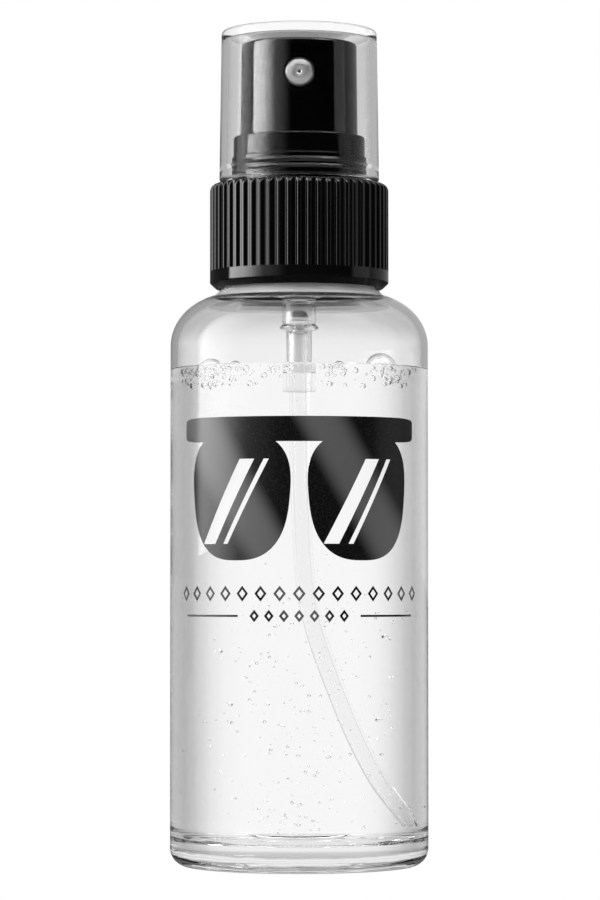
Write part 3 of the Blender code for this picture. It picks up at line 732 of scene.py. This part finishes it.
def make_print():
    """The generic print: a pair of sunglasses over two rows of small lozenges."""
    ink = ink_with_painted_sheen()
    depth = 0.02 * MM
    lens_u, lens_z, half_width, half_height = 9.9 * MM, 56.8 * MM, 8.5 * MM, 9.7 * MM
    mark = flat_shape([oval(0.0, 66.9 * MM, 20.7 * MM, 1.9 * MM, 9.0)], depth)
    for side in (-1, 1):
        lens = flat_shape([oval(side * lens_u, lens_z, half_width, half_height, 2.7, 0.1)], depth)
        combine(mark, lens, "UNION")
    for side in (-1, 1):
        for left, right in ((-1.6, 0.8), (2.3, 3.1)):
            slant = ((left - 4.6, -7.2), (right - 4.6, -7.2), (right + 2.2, 5.6), (left + 2.2, 5.6))
            glare = [(side * lens_u + u * MM, lens_z + z * MM) for u, z in slant]
            combine(mark, flat_shape([glare], 4.0 * depth), "DIFFERENCE")
    upper_z, lower_z, rule = 42.1 * MM, 38.75 * MM, 0.16 * MM
    rules = None
    for side in (-1, 1):
        ends = sorted((side * 9.6 * MM, side * 20.3 * MM))
        part = flat_shape([box_outline(*ends, lower_z - rule, lower_z + rule)], depth)
        rules = part if rules is None else combine(rules, part, "UNION")
    rows = ((15, 2.95 * MM, 1.2 * MM, upper_z), (7, 2.3 * MM, 0.95 * MM, lower_z))
    for count, pitch, height, z in rows:
        for k in range(count):
            u = (k - (count - 1) / 2.0) * pitch
            lozenge = []
            for size in (height, height - 0.56 * MM):
                wide = 0.8 * size
                lozenge.append([(u + wide, z), (u, z + size), (u - wide, z), (u, z - size)])
            combine(rules, flat_shape(lozenge, depth), "UNION")
    for flat, name in ((mark, "print_sunglasses"), (rules, "print_rules")):
        printed = wrap_on_bottle(flat, name)
        printed.data.materials.append(ink)
        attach(printed, "bottle")


# ---------------------------------------------------------------- closure, actuator, overcap

def make_closure():
    """The closure: 56 rounded ribs that run out at the top corner, band, seat and inner thread."""
    bore = 12.1 * MM
    deck_z = 104.2 * MM
    round_edge = 1.1 * MM
    seat_radius, seat_top_radius, seat_bore = 10.5 * MM, 10.24 * MM, 9.45 * MM
    bottom = rounded([
        (CLOSURE_RADIUS, RIB_Z + 0.01 * MM, 0.0),
        (CLOSURE_RADIUS, CLOSURE_Z + 0.9 * MM, 0.25 * MM),
        (CLOSURE_RADIUS - 0.95 * MM, CLOSURE_Z, 0.25 * MM),
        (bore + 0.6 * MM, CLOSURE_Z, 0.1 * MM),
        (bore, CLOSURE_Z + 0.6 * MM, 0.0),
    ])
    seat = rounded([
        (seat_bore, SEAT_TOP_Z, 0.0),
        (seat_top_radius, SEAT_TOP_Z, 0.3 * MM),
        (seat_top_radius, 109.9 * MM, 0.05 * MM),
        (seat_radius, 109.75 * MM, 0.1 * MM),
        (seat_radius, 109.1 * MM, 0.15 * MM),
        (10.72 * MM, 108.7 * MM, 0.15 * MM),
        (seat_radius, 108.3 * MM, 0.15 * MM),
        (seat_radius, 108.0 * MM, 0.1 * MM),
        (10.62 * MM, 107.7 * MM, 0.1 * MM),
        (seat_radius, 107.4 * MM, 0.1 * MM),
        (seat_radius, DECK_TOP_Z, 0.25 * MM),
        (CLOSURE_RADIUS - round_edge, DECK_TOP_Z, 0.0),
    ])
    corner = arc(CLOSURE_RADIUS - round_edge, DECK_TOP_Z - round_edge, round_edge, 90, 0, 10)
    skirt = dense([corner[-1], (CLOSURE_RADIUS, RIB_Z + 0.02 * MM)], 1.5 * MM)
    inside = dense([(bore, CLOSURE_Z + 0.6 * MM), (bore, deck_z)], 0.3 * MM)
    deck = [(5.6 * MM, deck_z), (5.6 * MM, DECK_TOP_Z), (seat_bore, DECK_TOP_Z)]
    profile = seat + corner[1:] + skirt[1:] + bottom + inside[1:] + deck
    thread = thread_relief(THREAD_Z + THREAD_PITCH / 2.0, 0.75 * MM, -1.0)
    groove_radius = CLOSURE_RADIUS - RIB_DEPTH
    squareness = 2.6

    def relief(angle, radius, z):
        wave = np.tanh(squareness * np.cos(angle * RIB_COUNT)) / np.tanh(squareness)
        rib = 0.5 + 0.5 * wave
        above = radius - np.minimum(radius, groove_radius)
        grooved = radius - above * (1.0 - rib)
        outside = (z > RIB_Z + 0.015 * MM) & (radius > groove_radius)
        radius = np.where(outside, grooved, radius)
        in_bore = (np.abs(radius - bore) < 1e-6) & (z < deck_z - 0.2 * MM) & (z > CLOSURE_Z + MM)
        return np.where(in_bore, thread(angle, radius, z), radius)

    gloss, underside = range(2)

    def zone(upper, lower):
        return underside if max(upper[1], lower[1]) < CLOSURE_Z + 0.95 * MM else gloss

    closure = lathe("closure_cap", profile, RIB_COUNT * 14, relief, zone, True)
    closure.data.materials.append(black_plastic("closure_black", 0.0015, 0.09, 0.002 * MM, 1.34))
    closure.data.materials.append(black_plastic("closure_underside", 0.0015, 0.3, 0.002 * MM, 1.12))
    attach(closure, "closure")
    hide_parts("closure")


def make_actuator():
    """The finger button with its dished top, nozzle pocket, hub and swirl post."""
    top_z, low_z = ACTUATOR_HIGH.z, ACTUATOR_LOW.z
    skirt_radius = ACTUATOR_HIGH.x
    top_radius = 8.95 * MM
    ceiling_z = 125.6 * MM
    hub_radius, hub_z = 3.0 * MM, 113.2 * MM
    bore = 7.6 * MM
    channel_z = 123.55 * MM
    profile = rounded([
        (0.0, top_z - 0.6 * MM, 0.0),
        (4.0 * MM, top_z - 0.5 * MM, 2.0 * MM),
        (top_radius - 1.5 * MM, top_z, 0.6 * MM),
        (top_radius, top_z, 0.45 * MM),
        (skirt_radius, low_z, 0.15 * MM),
        (bore, low_z, 0.15 * MM),
        (bore, ceiling_z, 0.5 * MM),
        (hub_radius, ceiling_z, 0.4 * MM),
        (hub_radius, hub_z, 0.2 * MM),
        (0.0, hub_z, 0.0),
    ], 6)
    profile = dense(profile, 0.5 * MM)
    actuator = lathe("actuator_button", profile, 256)
    pocket_end = NOZZLE_HIGH.y + 0.3 * MM
    boss = rod_along_y(3.6 * MM, -8.1 * MM, -1.5 * MM, NOZZLE_Z, 64)
    pocket = rod_along_y(NOZZLE_RADIUS + 0.12 * MM, -10.0 * MM, pocket_end, NOZZLE_Z, 96)
    post = rod_along_y(0.8 * MM, pocket_end - 1.4 * MM, pocket_end + MM, NOZZLE_Z, 32)
    channel = rod_along_y(0.35 * MM, pocket_end - 0.05 * MM, 0.2 * MM, channel_z, 16)
    combine(actuator, boss, "UNION")
    combine(actuator, pocket, "DIFFERENCE")
    combine(actuator, post, "UNION")
    stem_bore = lathe("stem_bore", [
        (0.0, 124.0 * MM), (0.7 * MM, 124.0 * MM), (0.7 * MM, 116.8 * MM),
        (1.9 * MM, 116.8 * MM), (1.9 * MM, hub_z - MM), (0.0, hub_z - MM),
    ], 48)
    combine(actuator, stem_bore, "DIFFERENCE")
    combine(actuator, channel, "DIFFERENCE")
    shade(actuator.data, 30.0)
    actuator.data.materials.clear()
    actuator.data.materials.append(black_plastic("actuator_black", 0.0015, 0.055, 0.0005 * MM))
    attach(actuator, "head")
    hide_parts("actuator")


def make_nozzle():
    """The nozzle insert: a satin silver dome with a raised rim and a fine dark orifice."""
    length = NOZZLE_HIGH.y - NOZZLE_LOW.y
    r = NOZZLE_RADIUS
    profile = rounded([
        (0.22 * MM, -0.8 * MM, 0.0),
        (0.22 * MM, -0.25 * MM, 0.1 * MM),
        (0.45 * MM, -0.1 * MM, 0.3 * MM),
        (1.0 * MM, 0.0, 0.8 * MM),
        (r * 0.6, -0.1 * MM, 1.0 * MM),
        (r * 0.85, -0.3 * MM, 0.9 * MM),
        (r, -0.6 * MM, 0.25 * MM),
        (r, -length, 0.1 * MM),
        (r - 0.85 * MM, -length, 0.05 * MM),
        (r - 0.85 * MM, -1.15 * MM, 0.1 * MM),
        (0.22 * MM, -1.15 * MM, 0.0),
    ], 8)
    nozzle = lathe("nozzle_dome", profile, 96, loop=True)
    nozzle.location = (0.0, NOZZLE_LOW.y, NOZZLE_Z)
    nozzle.rotation_euler = (pi / 2.0, 0.0, 0.0)
    nozzle.data.materials.append(metal("nozzle_silver", 0.42, 0.4, 0.85))
    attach(nozzle, "head")
    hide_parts("nozzle_insert")


# Tone of the overcap's wall from the middle to the outline: painted shade for the surroundings that
# the real wall bends into view near its outline
OVERCAP_EDGE_SHADE = ((0.0, 0.95), (0.3, 0.95), (0.5, 0.9), (0.75, 0.84), (1.0, 0.85))


def make_overcap():
    """The clear overcap: two walls, a round top edge and a snap bead near its mouth."""
    top_z, low_z = OVERCAP_HIGH.z, OVERCAP_LOW.z
    foot = OVERCAP_HIGH.x
    top = 12.1 * MM
    inner_top = top_z - 1.3 * MM
    foot_bore, top_bore = foot - OVERCAP_WALL, top - OVERCAP_WALL
    profile = rounded([
        (0.0, top_z, 0.0),
        (top, top_z, 0.6 * MM),
        (foot, low_z, 0.3 * MM),
        (foot_bore, low_z, 0.2 * MM),
        (foot_bore, low_z + 0.9 * MM, 0.3 * MM),
        (foot_bore - 0.08 * MM, low_z + 1.6 * MM, 1.0 * MM),
        (foot_bore, low_z + 2.3 * MM, 0.3 * MM),
        (top_bore, inner_top, 0.5 * MM),
        (0.0, inner_top, 0.0),
    ], 8)

    wall, rim, lid = range(3)

    def zone(upper, lower):
        if min(upper[1], lower[1]) > top_z - 0.1 * MM:
            return lid
        return rim if max(upper[1], lower[1]) < low_z + 0.4 * MM else wall

    overcap = lathe("overcap_shell", profile, 192, None, zone)
    for material in (
        clear_plastic("overcap_plastic", OVERCAP_IOR, 1.0, 0.06, 0.02 * MM, OVERCAP_EDGE_SHADE),
        clear_plastic("overcap_rim", OVERCAP_IOR, roughness=0.55),
        # The lid's darker tone is painted shade that holds down the bright light from above seen
        # through it
        clear_plastic("overcap_top_shaded", OVERCAP_IOR, 0.6, 0.5, 0.02 * MM),
    ):
        overcap.data.materials.append(material)
    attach(overcap, "overcap")
    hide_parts("overcap")


# ---------------------------------------------------------------- pump

def make_pump_housing():
    """The pump housing, with the barrel and tail that show in the shoulder."""
    low = HOUSING_LOW.z
    barrel, barrel_bore = 4.4 * MM, 3.6 * MM
    flange, lip = 10.4 * MM, 3.0 * MM
    chamber_bore, tail_bore, inlet = 2.0 * MM, 1.45 * MM, 0.9 * MM
    profile = rounded([
        (barrel_bore, 106.5 * MM, 0.0),
        (barrel, 106.5 * MM, 0.2 * MM),
        (barrel, 103.9 * MM, 0.2 * MM),
        (flange, 103.9 * MM, 0.2 * MM),
        (flange, 102.7 * MM, 0.2 * MM),
        (barrel, 102.7 * MM, 0.4 * MM),
        (barrel, 91.0 * MM, 0.4 * MM),
        (3.4 * MM, 90.0 * MM, 0.3 * MM),
        (2.65 * MM, 89.7 * MM, 0.3 * MM),
        (2.6 * MM, 84.0 * MM, 0.15 * MM),
        (lip, 83.7 * MM, 0.25 * MM),
        (lip, 83.3 * MM, 0.2 * MM),
        (2.0 * MM, 82.9 * MM, 0.3 * MM),
        (1.9 * MM, low, 0.2 * MM),
        (tail_bore, low, 0.15 * MM),
        (tail_bore, 82.9 * MM, 0.2 * MM),
        (inlet, 82.9 * MM, 0.2 * MM),
        (inlet, 83.6 * MM, 0.2 * MM),
        (chamber_bore, 84.6 * MM, 0.3 * MM),
        (chamber_bore, 87.9 * MM, 0.2 * MM),
        (1.3 * MM, 88.3 * MM, 0.15 * MM),
        (chamber_bore, 88.7 * MM, 0.2 * MM),
        (chamber_bore, 90.9 * MM, 0.2 * MM),
        (barrel_bore, 90.9 * MM, 0.3 * MM),
    ])

    def zone(upper, lower):
        return int(max(upper[1], lower[1]) < FILL_Z)

    housing = lathe("pump_body", dense(profile, 1.0 * MM), 96, None, zone, True)
    housing.data.materials.append(pale_plastic("pump_natural", 0.97, 0.08, 0.93))
    housing.data.materials.append(clear_plastic("pump_natural_wet", WET_IOR, 0.97))
    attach(housing, "pump")
    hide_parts("pump_housing")


def dip_route():
    """Points along the dip tube's centre line."""
    knots = [Vector((0.0, 0.0, 82.6 * MM)), Vector((0.0, 0.0, 72.0 * MM))]
    for x, z in ((0.2, 56.0), (1.2, 40.0), (5.0, 25.0), (9.2, 13.6), (13.6, 6.4)):
        knots.append(Vector((x * MM, 0.0, z * MM)))
    slopes = [Vector((0.0, 0.0, -1.0))]
    for before, after in zip(knots, knots[2:]):
        slopes.append((after - before).normalized())
    slopes.append((knots[-1] - knots[-2]).normalized())
    points = []
    for i in range(len(knots) - 1):
        reach = (knots[i + 1] - knots[i]).length / 3.0
        handles = (knots[i] + slopes[i] * reach, knots[i + 1] - slopes[i + 1] * reach)
        points += geometry.interpolate_bezier(knots[i], *handles, knots[i + 1], 16)[:-1]
    points.append(knots[-1])
    return points


def make_dip_tube():
    """The dip tube as a hollow tube with a rounded rim at each end, cut slanting at its foot."""
    outer, bore, sides = 1.15 * MM, 0.75 * MM, 40
    route = dip_route()
    verts, faces = [], []
    rings = []
    slant = 0.7

    def add_ring(k, radius, along=0.0):
        before = route[max(k - 1, 0)]
        after = route[min(k + 1, len(route) - 1)]
        forward = (after - before).normalized()
        side = Vector((0.0, 1.0, 0.0))
        normal = side.cross(forward).normalized()
        ring = []
        for s in range(sides):
            spoke = normal * cos(tau * s / sides) + side * sin(tau * s / sides)
            point = route[k] + spoke * radius + forward * along
            if k == len(route) - 1:
                point -= forward * spoke.dot(normal) * radius * slant
            ring.append(len(verts))
            verts.append(point)
        rings.append(ring)

    last = len(route) - 1
    add_ring(0, bore)
    add_ring(0, (bore + outer) / 2.0, -0.05 * MM)
    for k in range(len(route)):
        add_ring(k, outer)
    add_ring(last, (bore + outer) / 2.0, 0.05 * MM)
    for k in range(last, -1, -1):
        add_ring(k, bore)
    # The last ring lies on the first one, which takes its place
    for upper, lower in zip(rings, rings[1:-1] + [rings[0]]):
        for s in range(sides):
            n = (s + 1) % sides
            faces.append((upper[s], lower[s], lower[n], upper[n]))
    del verts[-sides:]
    tube = add_object("dip_tube_hose", solid_mesh("dip_tube", verts, faces, 60.0))
    tube.data.materials.append(
        clear_plastic("dip_tube_plastic", 1.0 + 2.0 * (WET_IOR - 1.0), 0.97)
    )
    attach(tube, "pump")
    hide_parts("dip_tube")


def make_return_spring():
    """The coil spring, built at the length of its CAD part; the real one shortens as the plunger
    goes down.
    """
    low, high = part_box("return_spring")
    wire, turns, sides, steps = 0.25 * MM, 6, 12, 28
    coil = high.x - wire
    count = turns * steps
    verts, faces = [], []
    for k in range(count + 1):
        angle = tau * k / steps
        z = low.z + wire + (high.z - low.z - 2.0 * wire) * k / count
        for s in range(sides):
            out, up = wire * cos(tau * s / sides), wire * sin(tau * s / sides)
            verts.append(((coil + out) * cos(angle), (coil + out) * sin(angle), z + up))
    for k in range(count):
        here, after = k * sides, (k + 1) * sides
        for s in range(sides):
            n = (s + 1) % sides
            faces.append((here + s, after + s, after + n, here + n))
    faces.append(tuple(range(sides)))
    faces.append(tuple(count * sides + s for s in range(sides - 1, -1, -1)))
    spring = add_object("coil_spring", solid_mesh("spring", verts, faces, 60.0))
    spring.data.materials.append(metal("spring_steel", 0.6, 0.22, 1.0))
    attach(spring, "pump")
    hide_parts("return_spring")
    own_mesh(spring)


def finish_inner_parts():
    """Materials for the hidden pump parts that keep their CAD shape."""
    white = pale_plastic("inner_white", 0.9, 0.35, 0.0)
    looks = {
        "neck_gasket": pale_plastic("gasket_foam", 0.75, 0.8, 0.0),
        "stem_collar": black_plastic("collar_black", 0.006, 0.25, 0.004 * MM),
        "pump_stem": white,
        "valve_rod": white,
        "piston": white,
        "inlet_ball": metal("ball_steel", 0.75, 0.1, 1.0),
    }
    for node, material in looks.items():
        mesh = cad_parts[node].data
        mesh.materials.clear()
        mesh.materials.append(material)


# ---------------------------------------------------------------- studio

def make_floor():
    """A white floor that glows like the background, so no line shows, and is dim in reflections."""
    mesh = bpy.data.meshes.new("floor")
    reach = 6.0
    mesh.from_pydata(
        [(-reach, -reach, 0.0), (reach, -reach, 0.0), (reach, reach, 0.0), (-reach, reach, 0.0)],
        [], [(0, 1, 2, 3)],
    )
    floor = add_object("floor", mesh)
    material, n = new_material("floor_white")
    path = n.add("ShaderNodeLightPath")
    glossy, through = path.outputs["Is Glossy Ray"], path.outputs["Is Transmission Ray"]
    mirrored = n.math("SUBTRACT", glossy, through, True)
    strength = n.span(mirrored, 0.0, 1.0, 1.0, 0.12)
    light = n.add("ShaderNodeEmission", Color=grey(1.0), Strength=strength)
    n.add("ShaderNodeOutputMaterial", Surface=light.outputs[0])
    mesh.materials.append(material)


def make_studio_light():
    """A white studio: soft boxes at the left and right front for gloss, a pale sweep behind.

    Directions are in degrees: turn is 0 at the front and grows towards +X, rise is the height
    above the horizon. Plain rays meet white, rays straight through clear pieces meet the pale
    sweep, and reflections meet the soft boxes against black.
    """
    world = bpy.data.worlds.new("studio")
    world.use_nodes = True
    bpy.context.scene.world = world
    n = Nodes(world.node_tree)
    place = n.add("ShaderNodeTexCoord")
    axes = n.add("ShaderNodeSeparateXYZ", Vector=place.outputs["Generated"])
    to_front = n.math("MULTIPLY", axes.outputs["Y"], -1.0)
    turn = n.math("MULTIPLY", n.math("ARCTAN2", axes.outputs["X"], to_front), DEGREES)
    rise = n.math("MULTIPLY", n.math("ARCSINE", axes.outputs["Z"]), DEGREES)
    away = n.math("ABSOLUTE", turn)

    def window(value, low, high, soft_low, soft_high):
        """1 between low and high, with soft ends."""
        start = n.span(value, low - soft_low, low + soft_low)
        end = n.span(value, high - soft_high, high + soft_high, 1.0, 0.0)
        return n.math("MULTIPLY", start, end)

    # Reflections: the strong left box with its weaker wing, the right box, the box above, a small
    # patch at the upper right and the dim room behind
    left = n.product(window(turn, -101.0, -62.0, 2.5, 18.0), 11.0)
    wing = n.product(window(turn, -101.0, -30.0, 2.5, 16.0), 1.2)
    right = n.product(window(turn, 73.0, 104.0, 3.0, 5.0), 0.75)
    boxes = n.product(n.total(left, wing, right), window(rise, -35.0, 52.0, 6.0, 12.0))
    above = n.product(window(turn, -75.0, 75.0, 15.0, 15.0), window(rise, 38.0, 76.0, 6.0, 6.0))
    above = n.product(above, 3.2)
    patch = n.product(window(turn, 45.0, 85.0, 6.0, 6.0), window(rise, 35.0, 62.0, 5.0, 5.0), 5.0)
    behind = n.total(
        n.span(away, 104.0, 110.0, 0.004, 0.08),
        n.span(turn, 104.0, 110.0, 0.0, 0.3),
        n.span(away, 168.0, 178.0, 0.0, 0.3),
    )
    gloss = n.total(boxes, behind, above, n.span(rise, 45.0, 70.0, 0.0, 0.5), patch)

    # The pale sweep seen through clear pieces, a little darker upwards and along one streak
    streak = window(turn, 142.5, 147.5, 1.5, 1.5)
    seen = n.product(n.span(rise, 2.5, 9.0, 1.0, 0.66), n.span(streak, 0.0, 1.0, 1.0, 0.93))

    path = n.add("ShaderNodeLightPath")
    plain = n.math("MAXIMUM", path.outputs["Is Camera Ray"], path.outputs["Is Diffuse Ray"])
    straight = n.math("LESS_THAN", path.outputs["Glossy Depth"], 0.5)
    transmitted = path.outputs["Is Transmission Ray"]
    through = n.product(transmitted, straight)

    # Light that mirrors inside clear walls is light too. After four crossings it may also come
    # from the black button, through the overcap's two walls, or from the fluid's surface: the
    # nearly level part is the surface's and stays light, the rest keeps to the room's dark tones.
    depth = path.outputs["Transmission Depth"]
    four = n.product(n.math("GREATER_THAN", depth, 3.5), n.math("LESS_THAN", depth, 4.5))
    level = n.span(window(rise, -6.0, 1.0, 0.5, 0.5), 0.0, 1.0, 0.25, 0.85, "LINEAR")
    level = n.math("SUBTRACT", level, n.product(window(rise, 5.0, 9.2, 0.3, 0.3), 0.25), True)
    inside = n.span(depth, 2.5, 3.5, 0.5, 0.85, "LINEAR")
    share = n.total(inside, n.product(four, n.math("SUBTRACT", level, inside)))
    trapped = n.product(n.math("SUBTRACT", transmitted, through), share)
    gloss = n.math("MAXIMUM", gloss, n.product(trapped, n.span(away, 104.0, 112.0)))

    rest = n.math("SUBTRACT", 1.0, n.math("MAXIMUM", plain, through))
    tone = n.total(plain, n.product(through, seen), n.product(rest, gloss))
    sky = n.add("ShaderNodeBackground", Color=grey(1.0), Strength=tone)
    n.add("ShaderNodeOutputWorld", Surface=sky.outputs[0])


def make_camera():
    """The camera stands low in front of the bottle and looks slightly up."""
    climb = 0.036
    camera = bpy.data.cameras.new("camera")
    camera.sensor_width = 36.0
    camera.lens = 150.0
    camera.clip_start = 0.01
    viewer = bpy.data.objects.new("camera", camera)
    bpy.context.scene.collection.objects.link(viewer)
    viewer.location = (0.12 * MM, -582.5 * MM, 43.4 * MM)
    viewer.rotation_euler = (pi / 2.0 + atan(climb), 0.0, 0.0)
    bpy.context.scene.camera = viewer


def set_picture():
    """Plain tones without a film look, and enough bounces for nested clear parts."""
    scene = bpy.context.scene
    scene.view_settings.view_transform = "Standard"
    scene.cycles.max_bounces = 24
    scene.cycles.transmission_bounces = 24
    scene.cycles.glossy_bounces = 8
    scene.cycles.diffuse_bounces = 4


make_camera()
set_picture()
make_studio_light()
make_floor()
make_bottle()
make_fluid()
make_bubbles()
make_surface_domes()
make_print()
make_closure()
make_actuator()
make_nozzle()
make_overcap()
make_pump_housing()
make_dip_tube()
make_return_spring()
finish_inner_parts()
